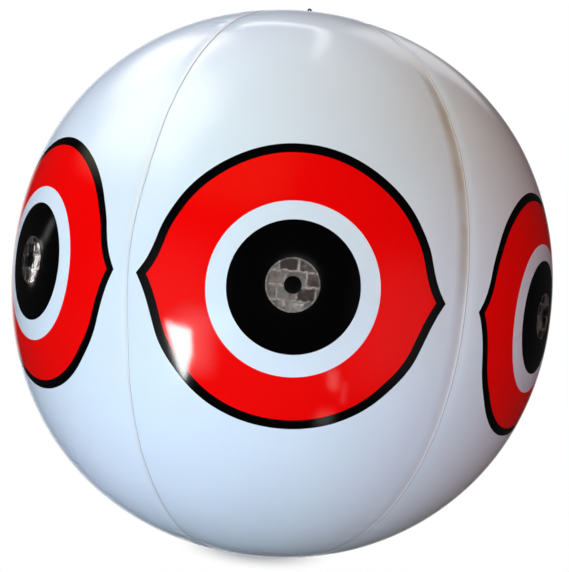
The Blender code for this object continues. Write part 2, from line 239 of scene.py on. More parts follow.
# %% [markdown]
# ## The film gores
#
# A gore of the real ball is a flat boat-shaped cut of film. Its right edge steps up and lies over the next
# gore, and a heated bar welds the two. Air then stretches the film, the seams draw in a little, and small
# puckers run out from them. All of that follows rules, so one Geometry Nodes tree makes a gore from a plain
# grid: it bends the grid's columns and rows round the skin, lifts the lap and adds the puckers. Both gores
# at a seam read the same noise at the same place, so that they never cut each other.


# %% Start, end and run a tree
def soften(mesh):
    """Shades a mesh smooth, apart from its sharp edges."""
    mesh.shade_smooth()
    mesh.set_sharp_from_angle(angle=math.radians(40))


def new_tree(name, numbers):
    """A Geometry Nodes tree with these named number inputs and a material, and a Term for each."""
    tree = bpy.data.node_groups.new(name, "GeometryNodeTree")
    for label in numbers:
        tree.interface.new_socket(label, in_out="INPUT", socket_type="NodeSocketFloat")
    tree.interface.new_socket("Material", in_out="INPUT", socket_type="NodeSocketMaterial")
    tree.interface.new_socket("Geometry", in_out="OUTPUT", socket_type="NodeSocketGeometry")
    source = tree.nodes.new("NodeGroupInput")
    return tree, {label: Term(source.outputs[label]) for label in (*numbers, "Material")}


def finish_tree(geometry, material):
    """Ends a tree in Realize Instances and Set Material."""
    tree = geometry.tree
    real = new_term(tree, "GeometryNodeRealizeInstances", {"Geometry": geometry})
    painted_sheet = new_term(tree, "GeometryNodeSetMaterial", {"Geometry": real, "Material": material})
    add_node(tree, "NodeGroupOutput", {0: painted_sheet})
    print(tree.name, "tree has", len(tree.nodes), "nodes")


def grow(name, tree, numbers, finish, thickness=FILM):
    """Runs a tree, gives its sheet a thickness inwards, and keeps it as a plain mesh object."""
    seedling = add_object(name + "_tree", bpy.data.meshes.new(name + "_tree"))
    modifier = seedling.modifiers.new("tree", "NODES")
    modifier.node_group = tree
    names = {s.name: s.identifier for s in tree.interface.items_tree if s.in_out == "INPUT"}
    for label, value in {**numbers, "Material": finish}.items():
        modifier[names[label]] = value
    wall = seedling.modifiers.new("wall", "SOLIDIFY")
    wall.thickness, wall.offset = thickness, -1
    seedling.update_tag()
    bpy.context.view_layer.update()
    mesh = bpy.data.meshes.new_from_object(seedling.evaluated_get(bpy.context.evaluated_depsgraph_get()))
    bpy.data.objects.remove(seedling)
    mesh.name = name
    soften(mesh)
    print(name, len(mesh.vertices), "points")
    return add_object(name, mesh)


# %% [markdown]
# The bending is the same for a gore, a foil sticker and a cap: a latitude, a longitude and a level over the
# skin give a place. It is the side view's formula again, now with Terms in it.


# %% Places on the skin
def skin_point(latitude):
    """Radius and height of the skin at a latitude."""
    cosine, sine = latitude.math("COSINE"), latitude.math("SINE")
    reach = skin_reach(cosine, sine)
    return reach * cosine, reach * sine


def skin_place(latitude, longitude, level=0.0):
    radius, height = skin_point(latitude)
    out, rise = skin_normal(radius, height)
    across = radius + level * out
    up = height + level * rise + BALL_CENTRE.z
    return vector_of(across * longitude.math("SINE"), across * longitude.math("COSINE") * -1, up)


def grid_of(tree, cells_across, cells_up):
    """A flat unit grid, with a Term for its share across and its share up."""
    inputs = {"Size X": 1.0, "Size Y": 1.0, "Vertices X": cells_across + 1, "Vertices Y": cells_up + 1}
    x, y, _ = parts_of(new_term(tree, "GeometryNodeInputPosition"))
    return new_term(tree, "GeometryNodeMeshGrid", inputs, "Mesh"), x + 0.5, y + 0.5


def moved(geometry, place):
    return new_term(geometry.tree, "GeometryNodeSetPosition", {"Geometry": geometry, "Position": place})


def rolled(geometry, place):
    """A grid moved so that its two sides meet, with the points there merged."""
    inputs = {"Geometry": moved(geometry, place), "Distance": 1e-6}
    return new_term(geometry.tree, "GeometryNodeMergeByDistance", inputs)


def stored(geometry, name, value):
    """Writes a vector on every point of a sheet, under a name that its material reads."""
    inputs = {"Geometry": geometry, "Name": name, "Value": value}
    settings = {"data_type": "FLOAT_VECTOR", "domain": "POINT"}
    return new_term(geometry.tree, "GeometryNodeStoreNamedAttribute", inputs, **settings)


# %% [markdown]
# The columns of the grid are set closer together near the seams, where the lap has its step. The right seam
# lies half a lap in from the gore's right edge, and the left seam half a lap in from its left edge.

# %% The gore's grid
CELLS_ACROSS, CELLS_UP = 104, 260
TIP_LATITUDE = math.acos(0.013 / BALL_HALF_HEIGHT)
LEFT_SHARE, RIGHT_SHARE = 0.12, 0.22
LEFT_ZONE, RIGHT_ZONE = 0.010, 0.015
SIDES = ("Left", "Right")
SEAM_NUMBERS = ("seam", "crease", "wander")
GORE_NUMBERS = ["Turn", "Seam shade strength"] + [f"{side} {what}" for side in SIDES for what in SEAM_NUMBERS]

gore_tree, gore_in = new_tree("film_gore", GORE_NUMBERS)
sheet, share_across, share_up = grid_of(gore_tree, CELLS_ACROSS, CELLS_UP)
latitude = share_up * (2 * TIP_LATITUDE) - TIP_LATITUDE
ring = skin_point(latitude)[0]
width = ring * (2 * HALF_GORE) + LAP_WIDTH
left_zone = (width * 0.3).math("MINIMUM", LEFT_ZONE)
right_zone = (width * 0.4).math("MINIMUM", RIGHT_ZONE)
in_left = (share_across / LEFT_SHARE).math("MINIMUM", 1) * left_zone
middle_share = (share_across - LEFT_SHARE) / (1 - LEFT_SHARE - RIGHT_SHARE)
in_middle = middle_share.clamped() * (width - left_zone - right_zone)
in_right = ((share_across - (1 - RIGHT_SHARE)) / RIGHT_SHARE).math("MAXIMUM", 0) * right_zone
from_edge = in_left + in_middle + in_right
off_left = from_edge - LAP_WIDTH / 2
off_right = from_edge - width + LAP_WIDTH / 2
longitude = off_left / ring - HALF_GORE
print("gore grid", CELLS_ACROSS, "by", CELLS_UP, "cells, to latitude", round(math.degrees(TIP_LATITUDE), 1))

# %% [markdown]
# The level over the skin adds up five things: the lap's step, the draw of the seams, a narrow crease beside
# each weld, the puckers that run out from it, and slow ripples of the stretched film. Welds are not alike,
# so each seam has a crease depth of its own, and may wander sideways a few millimetres. The creases grow
# shallow below the equator. Puckers change fast along a seam and slowly away from it, so their noise is read
# at (along, away, seam number). They fade out towards the caps.

# %% Levels of the gore
STEP_TOP, STEP_FOOT = -0.0031, -0.014
SEAM_DIP = 0.0023
CREASE_EDGE, CREASE_REACH = 0.0002, 0.0095
WANDER_EDGE, WANDER_REACH = 0.008, 0.05
PUCKER_HEIGHT = 0.0008
PUCKER_ALONG, PUCKER_AWAY, STRETCH_ALONG = 0.011, 0.045, 0.07
RIPPLE_HEIGHT, RIPPLE_SCALE = 0.0004, 11.0


def puckers(along, away, seam):
    """Short folds across a seam, stronger in some stretches of it than in others."""
    folds = noise_of(vector_of(along / PUCKER_ALONG, away / PUCKER_AWAY, seam * 7.3), 1.0, 1.0)
    strength = noise_of(vector_of(along / STRETCH_ALONG, 0.0, seam * 3.1), 1.0, 1.0).smooth(-0.35, 0.4)
    return folds * strength * away.near(0.001, 0.024)


def ripple_of(latitude, longitude):
    """Slow waves of the stretched film, read at the place on the skin so that neighbours agree."""
    return noise_of(skin_place(latitude, longitude), RIPPLE_SCALE, 1.0) * RIPPLE_HEIGHT


def seam_dip(latitude, longitude):
    """How far the seams draw the film in, most at the equator."""
    off_middle = 1 - abs(1 - abs(longitude) / HALF_GORE)
    return off_middle**4 * latitude.math("COSINE") * SEAM_DIP


along = latitude * BALL_RADIUS
folds = wander = valleys = 0.0
for side, off_seam in zip(SIDES, (off_left, off_right)):
    folds = folds + puckers(along, off_seam, gore_in[side + " seam"])
    wander = wander + gore_in[side + " wander"] * off_seam.near(WANDER_EDGE, WANDER_REACH)
    valleys = valleys + off_seam.near(CREASE_EDGE, CREASE_REACH) * gore_in[side + " crease"]
clear_of_caps = latitude.near(math.radians(70), math.radians(78))
most = (latitude - math.radians(3)).near(0.0, math.radians(17))
turn = longitude + gore_in["Turn"] + wander * (most * 0.55 + 0.45) * clear_of_caps / ring
valleys = valleys * (along.smooth(-0.14, 0.0) * 0.8 + 0.2)
waves = folds * PUCKER_HEIGHT + ripple_of(latitude, turn) - valleys
lap = off_right.smooth(STEP_FOOT, STEP_TOP) * LAP_LEVEL
level = lap - seam_dip(latitude, longitude) + waves * clear_of_caps
sheet = stored(sheet, "seams", vector_of(off_left, off_right, along))
# Each gore carries how strong the painted shade beside its right seam is.
sheet = stored(sheet, "painted_seam_shade_strength", vector_of(gore_in["Seam shade strength"]))
finish_tree(moved(sheet, skin_place(latitude, turn, level)), gore_in["Material"])

# %% [markdown]
# ## The printed film
#
# The eyes are ink on the film, so they are colour and not pieces. Each gore carries one print. Its outline
# has a round upper lid and a slightly flatter lower lid, and both run out into the corners along a hollow
# curve. A mask for it is a signed distance: how far a point is outside the line. Inside come the red, a
# white ring and the black pupil, which are circles. Each ink is a printing pass of its own, so the ring and
# the pupil sit a little off the outline's middle. Points are measured on the flat gore, in metres from the
# middle of the outline, so the print stretches with the film as real ink does.

# %% Sizes of the print
PUPIL_RADIUS, PUPIL_MIDDLE = 0.0390, (0.0003, 0.0006)
RING_RADIUS, RING_MIDDLE = 0.0512, (0.0003, -0.0005)
OUTLINE = 0.0059
CORNER_REACH = 0.0969
INK_EDGE = 0.00012


def lid(radius, tangent, hollow):
    """A round lid that turns, at a tangent of so many degrees, into a hollow curve of its own radius."""
    turn, reach = math.radians(tangent), radius + hollow
    centre = (reach * math.cos(turn), reach * math.sin(turn))
    tip = centre[0] - math.sqrt(hollow**2 - centre[1] ** 2)
    print("corner at", round(tip, 4), "m, wanted", CORNER_REACH)
    return radius, turn, hollow, centre


UPPER_LID = lid(0.0865, 17.4, 0.07336)
LOWER_LID = lid(0.0847, 23, 0.16164)


def outside_lid(x, y, lid):
    """How far a point is outside a lid's line: a circle in the middle, and a hollow curve at the sides."""
    radius, turn, hollow, centre = lid
    from_centre = hypotenuse(x, y) - radius
    from_hollow = hollow - hypotenuse(x - centre[0], y - centre[1])
    return blend_of(y.math("LESS_THAN", x * math.tan(turn)), from_centre, from_hollow)


def fuller(x, y, middle, reach, size):
    """How much a lid stands out beyond its curve round one angle, in degrees from the corners' line."""
    return (y.math("ARCTAN2", x) - math.radians(middle)).near(0.0, math.radians(reach)) * size


def within(distance):
    """One inside an ink edge and zero outside it, with the soft width of the real edge."""
    return 1 - distance.smooth(-INK_EDGE, INK_EDGE)


# %% [markdown]
# Every material starts from one Principled shader. Colours are laid on like coats: each says how much it
# covers, from zero to one, and what it looks like.


# %% Helpers for materials
def new_material(name):
    """A material with one Principled shader, and the tree to write in."""
    made = bpy.data.materials.new(name)
    made.use_nodes = True
    return made, made.node_tree, made.node_tree.nodes["Principled BSDF"]


def attribute_of(tree, name):
    return new_term(tree, "ShaderNodeAttribute", output="Vector", attribute_name=name)


def object_place(tree):
    return new_term(tree, "ShaderNodeTexCoord", output="Object")


def painted(colour, *coats):
    """A colour with coats over it, each given as its cover and its own colour."""
    for share, coat in coats:
        node = add_node(share.tree, "ShaderNodeMix", data_type="RGBA")
        pair = [(*paint, 1) if isinstance(paint, tuple) else paint for paint in (colour, coat)]
        feed(node, {0: share, 6: pair[0], 7: pair[1]})
        colour = Term(node.outputs[2])
    return colour


def bump_of(height, distance, below=None):
    """A normal bent by a height of this many metres, over another normal if there is one."""
    inputs = {"Height": height, "Distance": distance, "Strength": 1.0}
    if below:
        inputs["Normal"] = below
    return new_term(height.tree, "ShaderNodeBump", inputs)


# %% [markdown]
# The film itself is a glossy, slightly cool white. Its colour drifts a little over the ball, its gloss is
# uneven at the size of a hand, and a very fine grain breaks the reflections. Ink lies a few microns proud
# and is a touch glossier. The weld shows as a narrow band that the bar has pressed flat and dull, and the
# molten edge of the lap has drawn up into a thin bead. A thin grey line at the lap's edge is painted shadow
# of its step. On the left of the seams, most of all the first, a brown band is painted shade and warm
# reflection of the seam's crease. Where that band is strong, the painted shadow line is paler, as if lit.

# %% The print's masks
FILM_IOR = 1.52
printed_film, ink_tree, ink_shader = new_material("printed_film")
print_x, print_y, _ = parts_of(attribute_of(ink_tree, "print_place"))
ink_place = object_place(ink_tree)
wobble = noise_of(ink_place, 900.0, 1.0) * 0.00006
side_x, side_y = abs(print_x), abs(print_y)
upper = outside_lid(side_x, side_y, UPPER_LID) - fuller(side_x, side_y, 17, 14, 0.0011)
upper = upper + fuller(side_x, side_y, 56, 30, 0.0011)
lower = outside_lid(side_x, side_y, LOWER_LID) - fuller(side_x, side_y, 22, 22, 0.0021)
outside = blend_of(print_y.math("GREATER_THAN", 0), lower, upper) + wobble
from_ring = hypotenuse(print_x - RING_MIDDLE[0], print_y - RING_MIDDLE[1]) + wobble
from_pupil = hypotenuse(print_x - PUPIL_MIDDLE[0], print_y - PUPIL_MIDDLE[1]) + wobble
in_outline, in_red = within(outside), within(outside + OUTLINE)
in_ring, in_pupil = within(from_ring - RING_RADIUS), within(from_pupil - PUPIL_RADIUS)
inked = in_outline * (1 - in_ring * (1 - in_pupil))
print("masks take", len(ink_tree.nodes), "nodes")

# %% The printed film's material
FILM_WHITE = (0.72, 0.80, 0.93)
FILM_SHADE = (0.69, 0.76, 0.90)
INK_RED = (0.89, 0.0006, 0.0006)
INK_BLACK = (0.0006, 0.0006, 0.0009)
LAP_EDGE_SHADOW_GREY = (0.47, 0.46, 0.53)
LAP_WHITE = (0.74, 0.76, 0.84)
# The brown of the painted shade and warm reflection beside the seams.
SEAM_SHADE_BROWN = (0.56, 0.53, 0.50)

off_left, off_right, along = parts_of(attribute_of(ink_tree, "seams"))
weld = abs(off_right).math("MINIMUM", abs(off_left)).near(0.0017, 0.0022)
# Painted shadow of the lap's step: a thin grey line at the lap's edge.
painted_step_shadow = off_right.smooth(0.0020, 0.0023)
lap_band = (off_right + 0.0026).smooth(0.0, 0.0006)
bead = (off_right - 0.0019).near(0.0, 0.0008)
drift = noise_of(ink_place, 9.0, 3.0).smooth(-0.6, 0.6)
grain = noise_of(ink_place, 1400.0, 2.0)
slow = noise_of(ink_place, 45.0, 2.0)
seam_shade_strength = parts_of(attribute_of(ink_tree, "painted_seam_shade_strength"))[0]
# Painted shade and warm reflection of the seam's crease: a blotchy brown band left of the lap, from the
# equator to about 40 degrees up.
painted_seam_shade = off_right.smooth(-0.012, -0.001) * (1 - off_right.smooth(0.0012, 0.0020)) * along.smooth(-0.02, 0.05)
painted_seam_shade = painted_seam_shade * (1 - along.smooth(0.13, 0.18)) * seam_shade_strength * (slow * 0.9 + 0.8)
# Coats: random drift, the lap's double film, the painted seam shade, and the painted step shadow, which is
# paler where the seam shade is strong.
film_colour = painted(
    FILM_WHITE,
    (drift, FILM_SHADE),
    (lap_band * 0.5, LAP_WHITE),
    (painted_seam_shade.math("MINIMUM", 0.9), SEAM_SHADE_BROWN),
    (painted_step_shadow * (0.55 - seam_shade_strength * 0.5), LAP_EDGE_SHADOW_GREY),
)
colour = painted(
    film_colour, (in_outline, INK_BLACK), (in_red, INK_RED), (in_ring, film_colour), (in_pupil, INK_BLACK)
)
gloss = slow * 0.02 + grain * 0.012 + 0.13 + weld * 0.1 - inked * 0.04
proud = bump_of(inked, 0.00002, bump_of(bead, 0.00022))
skin = bump_of(grain, 0.000004, proud)
feed(ink_shader, {"Base Color": colour, "Roughness": gloss, "IOR": FILM_IOR, "Normal": skin})
print("film material has", len(ink_tree.nodes), "nodes")

# %% [markdown]
# Each print sits a little off the middle of its gore, because the web of film is printed and cut in two
# steps. The foil sticker is put on by hand near the middle of the pupil. The CAD node of the sticker says
# where it is, and its miss says where that lies on the print, sideways and up. The film also stretches
# unevenly as it is blown up, so on some gores the middle of the print is pulled one way and its corners
# less, or the other way. A pull holds the shifts of the left corner, the middle and the right corner.

# %% Lay a print on a gore
MISSES_ASIDE = (-0.0005, 0.0010, 0.0004, -0.0008, 0.0, -0.0003)
MISSES_UP = (0.00185, 0.0017, 0.0010, 0.0014, 0.0016, 0.0012)
PULLS = (
    (0.0, 0.0, 0.0),
    (0.0053, -0.0051, 0.0),
    (0.0010, 0.0012, 0.0),
    (0.0, -0.0008, 0.0010),
    (-0.0010, 0.0016, 0.0),
    (0.0, 0.0038, -0.0056),
)
NEARLY_POLE = 1.5707
steps = np.linspace(-math.pi / 2, math.pi / 2, 4001)
outline_radius, outline_height = side_view(np.clip(steps, -NEARLY_POLE, NEARLY_POLE))[:2]
lengths = np.concatenate(([0], np.cumsum(np.hypot(np.diff(outline_radius), np.diff(outline_height)))))
print("pole to pole along the skin", round(float(lengths[-1]), 4), "m")


def meridian(latitude):
    """Length along the skin from the equator up to a latitude."""
    return np.interp(latitude, steps, lengths) - np.interp(0, steps, lengths)


def direction(place):
    """Latitude and longitude of a place, seen from the ball's centre."""
    away = np.asarray(place) - np.array(BALL_CENTRE)
    across = np.hypot(away[..., 0], away[..., 1])
    return np.arctan2(away[..., 2], across), np.arctan2(away[..., 0], -away[..., 1])


def sticker_direction(index):
    """Latitude and longitude of a gore's sticker, from its CAD node's box."""
    low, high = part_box(f"foil_disc_{index + 1}")
    return direction((low + high) / 2)


def unpulled(place, pull):
    """Where a point across the gore lay on the print before the film stretched."""
    before = np.linspace(-0.14, 0.14, 561)
    share = np.clip(np.abs(before) / CORNER_REACH, 0, 1) ** 3
    corner = np.where(before < 0, pull[0], pull[2])
    return np.interp(place, before + pull[1] + (corner - pull[1]) * share, before)


def lay_print(piece, index):
    """Writes where each point of a gore lies on its print, in metres from the print's middle."""
    foil_latitude, foil_longitude = sticker_direction(index)
    points = np.zeros(len(piece.data.vertices) * 3)
    piece.data.vertices.foreach_get("co", points)
    latitude, longitude = direction(points.reshape(-1, 3))
    turn = (longitude - foil_longitude + math.pi) % (2 * math.pi) - math.pi
    across = side_view(latitude)[0] * turn + MISSES_ASIDE[index] + PULLS[index][1]
    across = unpulled(across, PULLS[index])
    up = meridian(latitude) - meridian(foil_latitude) + MISSES_UP[index]
    layer = piece.data.attributes.new("print_place", "FLOAT_VECTOR", "POINT")
    layer.data.foreach_set("vector", np.stack([across, up, up * 0], 1).astype(np.float32).ravel())


# %% [markdown]
# The six gores differ in their seams: each seam is numbered by the gore that it is the right edge of, and
# has its own crease, its own wander, and its own strength of painted shade beside it.

# %% Make the six gores
CREASES = (0.0007, 0.0004, 0.0003, 0.0005, 0.0004, 0.0002)
WANDERS = (0.0, 0.0012, -0.0009, 0.0015, -0.0007, -0.0049)
# How strong the painted shade beside each seam is. It also pales that seam's painted step shadow.
SEAM_SHADE_STRENGTHS = (1.0, 0.1, 0.4, 0.2, 0.5, 0.05)

for index in range(GORE_COUNT):
    sizes = {"Turn": 2 * HALF_GORE * index, "Seam shade strength": SEAM_SHADE_STRENGTHS[index]}
    for side, seam in zip(SIDES, ((index - 1) % GORE_COUNT, index)):
        own = zip(SEAM_NUMBERS, (float(seam), CREASES[seam], WANDERS[seam]))
        sizes.update({f"{side} {what}": value for what, value in own})
    gore = grow(f"film_gore_{index + 1}", gore_tree, sizes, printed_film)
    lay_print(gore, index)
    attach(gore, "ball")
    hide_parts(f"gore_{index + 1}")

# %% [markdown]
# ## Foil stickers
#
# A ring of thin holographic foil is stuck in the middle of each pupil, to flash in the sun. It was rubbed
# down by hand, so it is creased into small flat facets that each mirror something else; here those
# reflections are painted in the foil's colour. The six rings are alike and follow the skin, so one tree makes
# them: a grid is rolled up into a ring, laid at a latitude and a longitude, and lifted by the same ripples as
# the film below it. Some are duller than others.

# %% The foil tree
FOIL = 0.00015
FOIL_RADIUS = 0.01575
FOIL_HOLE_RADIUS = 0.00515
FOIL_CREASE = 0.00004

foil_tree, foil_in = new_tree("foil_ring", ("Latitude", "Longitude", "Dull"))
sheet, share_around, share_out = grid_of(foil_tree, 96, 14)
around = share_around * (-2 * math.pi)
out = blend_of(share_out, FOIL_HOLE_RADIUS, FOIL_RADIUS)
foil_up, foil_across = out * around.math("SINE"), out * around.math("COSINE")
latitude = foil_in["Latitude"] + foil_up / BALL_RADIUS
longitude = foil_in["Longitude"] + foil_across / skin_point(latitude)[0]
creases = noise_of(skin_place(latitude, longitude), 420.0, 2.0)
level = ripple_of(latitude, longitude) + creases * FOIL_CREASE + FOIL + CONTACT_GAP * 3
sheet = stored(sheet, "foil_place", vector_of(foil_across, foil_up, foil_in["Longitude"]))
sheet = stored(sheet, "foil_wear", vector_of(foil_in["Dull"]))
finish_tree(rolled(sheet, skin_place(latitude, longitude, level)), foil_in["Material"])

# %% [markdown]
# The foil is metal, so what it shows is the room. Its facets, a centimetre wide, carry painted reflections:
# each has a dark, middle or pale tone in the colour. The blurred folds between them fade in and out, and are
# bumped and painted pale as shine. Soft dents bend the mirror image, fine scuffs run across it, and the rim
# that the punch left has a painted highlight. A brick pattern gives the facets, and each ring reads it, and
# the noise, at a place of its own.

# %% The foil's material
FOIL_DARK_REFLECTION = (0.11, 0.085, 0.078)
FOIL_MIDDLE = (0.47, 0.40, 0.38)
FOIL_COOL = (0.37, 0.39, 0.37)
FOIL_PAINTED_SHINE = (0.96, 0.90, 0.87)
FACET_WIDE, FACET_HIGH, FOLD_WIDE = 0.0115, 0.0085, 0.0013
FACET_START = (1.35882, 0.04954)

grey_foil, tree, shader = new_material("grey_foil")
foil_x, foil_y, foil_turn = parts_of(attribute_of(tree, "foil_place"))
dull = parts_of(attribute_of(tree, "foil_wear"))[0]
own_place = vector_of(foil_x, foil_y, foil_turn * 0.05)
other_place = vector_of(foil_x, foil_y, foil_turn * 0.05 + 0.07)
dents = noise_of(own_place, 190.0, 2.0)
bent = noise_of(other_place, 260.0, 3.0) * 0.0016
scuffs = noise_of(vector_of(foil_x * 0.35, foil_y, foil_turn), 2300.0, 2.0)
facet_x = foil_x + dents * 0.0012 + foil_turn * 0.3 + FACET_START[0]
facet_y = foil_y + bent + foil_turn * 0.21 + FACET_START[1]
bricks = {
    "Vector": vector_of(facet_x, facet_y),
    "Color1": (0, 0, 0, 1),
    "Color2": (1, 1, 1, 1),
    "Mortar": (0.75, 0.75, 0.75, 1),
    "Scale": 1.0,
    "Mortar Size": FOLD_WIDE,
    "Mortar Smooth": 1.0,
    "Brick Width": FACET_WIDE,
    "Row Height": FACET_HIGH,
}
facet = add_node(tree, "ShaderNodeTexBrick", bricks, offset=0.43)
# The facets' dark, middle and pale tones are painted reflections of the room.
reflection_tone = parts_of(Term(facet.outputs["Color"]))[0] + dents * 0.45 + scuffs * 0.14
fading = (noise_of(other_place, 330.0, 1.0) * 1.6 + 0.6).clamped()
# The folds bend the normal, and are also painted pale as shine.
fold = Term(facet.outputs["Fac"]) * fading
at_rim = hypotenuse(foil_x, foil_y).smooth(FOIL_RADIUS - 0.0013, FOIL_RADIUS - 0.0006)
# A painted highlight along the rim, broken up by the bent noise.
painted_rim_highlight = at_rim * (bent * 400 + 0.5).clamped()
cool = noise_of(other_place, 120.0, 1.0).smooth(-0.2, 0.5)
foil_colour = painted(
    FOIL_DARK_REFLECTION,
    (reflection_tone.smooth(0.12, 0.62), painted(FOIL_MIDDLE, (cool, FOIL_COOL))),
    (reflection_tone.smooth(0.70, 1.15), FOIL_PAINTED_SHINE),
    (fold * 0.7, FOIL_PAINTED_SHINE),
    (painted_rim_highlight * 0.7, FOIL_PAINTED_SHINE),
)
creased = bump_of(dents, 0.00003, bump_of(fold, 0.00003))
foil_gloss = scuffs * 0.03 + 0.17 + dull
feed(shader, {"Base Color": foil_colour, "Roughness": foil_gloss, "Metallic": 0.9, "Normal": creased})
print("foil material has", len(tree.nodes), "nodes")

# %% Make the six foil rings
DULLS = (0.0, 0.42, 0.10, 0.04, 0.16, -0.09)

for index, foil_dull in enumerate(DULLS):
    foil_latitude, foil_longitude = sticker_direction(index)
    sizes = {"Latitude": float(foil_latitude), "Longitude": float(foil_longitude), "Dull": foil_dull}
    ring = grow(f"foil_ring_{index + 1}", foil_tree, sizes, grey_foil, FOIL)
    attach(ring, "ball")
    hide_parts(f"foil_disc_{index + 1}")

# %% [markdown]
# ## The caps on the poles
#
# Six gore tips meet at each pole, so a round cap of film is welded over them. It follows the laps below it,
# and the ring-shaped welding tool leaves fine ridges near its rim. It is made like the foil: a grid rolled
# up into a ring. The bottom cap is the same tree at the other pole, with a hole for the valve.

# %% The cap tree
CAP_RADIUS = 0.032
WELD_START, WELD_STOP, WELD_EDGE = 0.0235, 0.0305, 0.0006
RIDGE_PITCH, RIDGE_HEIGHT = 0.0011, 0.00005

cap_tree, cap_in = new_tree("pole_cap", ("End", "Hole"))
sheet, share_around, share_out = grid_of(cap_tree, 192, 40)
out = blend_of(share_out, cap_in["Hole"], CAP_RADIUS)
latitude = (out / BALL_HALF_HEIGHT).math("ARCCOSINE")
around = share_around * (-2 * math.pi)
off_gore = (around - HALF_GORE).math("FLOORED_MODULO", 2 * HALF_GORE) - HALF_GORE
ring = skin_point(latitude)[0]
from_left, from_right = (off_gore + HALF_GORE) * ring, (off_gore - HALF_GORE) * ring
over_lap = from_right.smooth(STEP_FOOT, STEP_TOP).math("MAXIMUM", 1 - from_left.smooth(0.0025, 0.0045))
in_weld = out.smooth(WELD_START, WELD_START + WELD_EDGE) * (1 - out.smooth(WELD_STOP - WELD_EDGE, WELD_STOP))
ridges = ((out * (2 * math.pi / RIDGE_PITCH)).math("SINE") - 1) * in_weld * RIDGE_HEIGHT
level = over_lap * LAP_LEVEL - seam_dip(latitude, off_gore) + ridges
level = level + FILM + CONTACT_GAP * 2 + LAP_LEVEL / 2
sheet = stored(sheet, "cap_place", vector_of(in_weld))
place = skin_place(latitude * cap_in["End"], around * cap_in["End"], level)
finish_tree(rolled(sheet, place), cap_in["Material"])

# %% [markdown]
# The caps are the gores' own film without ink. Where the ring-shaped tool pressed, it is duller and a little
# greyer. The backing disc below the top cap, which nothing shows, takes the same finish.

# %% The plain film's material
WELD_PALE = (0.62, 0.66, 0.76)

plain_film, tree, shader = new_material("plain_film")
place = object_place(tree)
shade = noise_of(place, 60.0, 3.0)
pressed = parts_of(attribute_of(tree, "cap_place"))[0]
paint = painted(FILM_WHITE, (shade.smooth(-0.6, 0.6), FILM_SHADE), (pressed * 0.35, WELD_PALE))
gloss = shade * 0.03 + 0.16 + pressed * 0.12
skin = bump_of(noise_of(place, 1400.0, 2.0), 0.000004)
feed(shader, {"Base Color": paint, "Roughness": gloss, "IOR": FILM_IOR, "Normal": skin})
print("plain film has", len(tree.nodes), "nodes")

# %% Make both caps
for name, node, end, hole in (
    ("film_cap_top", "top_cap", 1.0, 0.0047),
    ("film_cap_bottom", "bottom_cap", -1.0, 0.0093),
):
    cap = grow(name, cap_tree, {"End": end, "Hole": hole}, plain_film)
    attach(cap, "ball")
    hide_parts(node)
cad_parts["top_backing"].material_slots[0].material = plain_film
print("backing disc takes", plain_film.name)

# %% [markdown]
# ## Turned parts
#
# The loop's boss, the valve's flange, web, stem and plug were all moulded round an axis. An outline of
# (radius, height) points is turned about Z. Real mould edges are never sharp, so the corners of an outline
# may be rounded with a small arc before it is turned.

# %% Helpers that turn outlines
ON_AXIS = 1e-7


def rounded(points, radius, cells=4):
    """A closed outline with its corners rounded by up to this radius, apart from those on the axis."""
    made = []
    count = len(points)
    for i, point in enumerate(points):
        here, before, after = (Vector(points[j % count]) for j in (i, i - 1, i + 1))
        if here.x < ON_AXIS:
            made.append(tuple(here))
            continue
        back, on = (before - here), (after - here)
        reach = min(radius, back.length * 0.45, on.length * 0.45)
        start, stop = here + back.normalized() * reach, here + on.normalized() * reach
        for cell in range(cells + 1):
            share = cell / cells
            made.append(tuple(start * (1 - share) ** 2 + here * 2 * share * (1 - share) + stop * share**2))
    return made


def join_rings(work, rings, closed=False):
    """Spans faces between each ring of points and the next, and from the last to the first if closed."""
    for a, b in zip(rings, rings[1:] + rings[:1] if closed else rings[1:]):
        for i in range(len(a)):
            j = (i + 1) % len(a)
            corners = list(dict.fromkeys((a[i], a[j], b[j], b[i])))
            if len(corners) > 2:
                work.faces.new(corners)


def turn_outline(work, points, steps=96):
    """Adds an outline turned about Z to a bmesh. A point on the axis makes one vertex."""
    rings = []
    angles = [2 * math.pi * i / steps for i in range(steps)]
    for radius, height in points:
        if radius < ON_AXIS:
            rings.append([work.verts.new((0, 0, height))] * steps)
        else:
            places = [(radius * math.cos(angle), radius * math.sin(angle), height) for angle in angles]
            rings.append([work.verts.new(place) for place in places])
    join_rings(work, rings, closed=True)


def mesh_piece(name, build, finish, body=None, node=None):
    """A piece that the function build fills in, finished and set on its body for a CAD node."""
    mesh = bpy.data.meshes.new(name)
    work = bmesh.new()
    build(work)
    bmesh.ops.recalc_face_normals(work, faces=work.faces)
    work.to_mesh(mesh)
    work.free()
    mesh.materials.append(finish)
    soften(mesh)
    piece = add_object(name, mesh)
    if body:
        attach(piece, body)
        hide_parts(node)
    print(name, len(mesh.vertices), "points")
    return piece


def pole_place(radius, level, end):
    """(radius, height) of a place at a level over the skin near a pole, for an outline."""
    across, height, out, rise = side_view(np.arccos(radius / BALL_HALF_HEIGHT))
    return float(across + level * out), float(end * (height + level * rise) + BALL_CENTRE.z)


# %% [markdown]
# Two plastics are moulded here: a black one for the loop, and a milky soft one for the valve. Both have
# faint clouds in their colour and gloss, and fine pits in their skin.


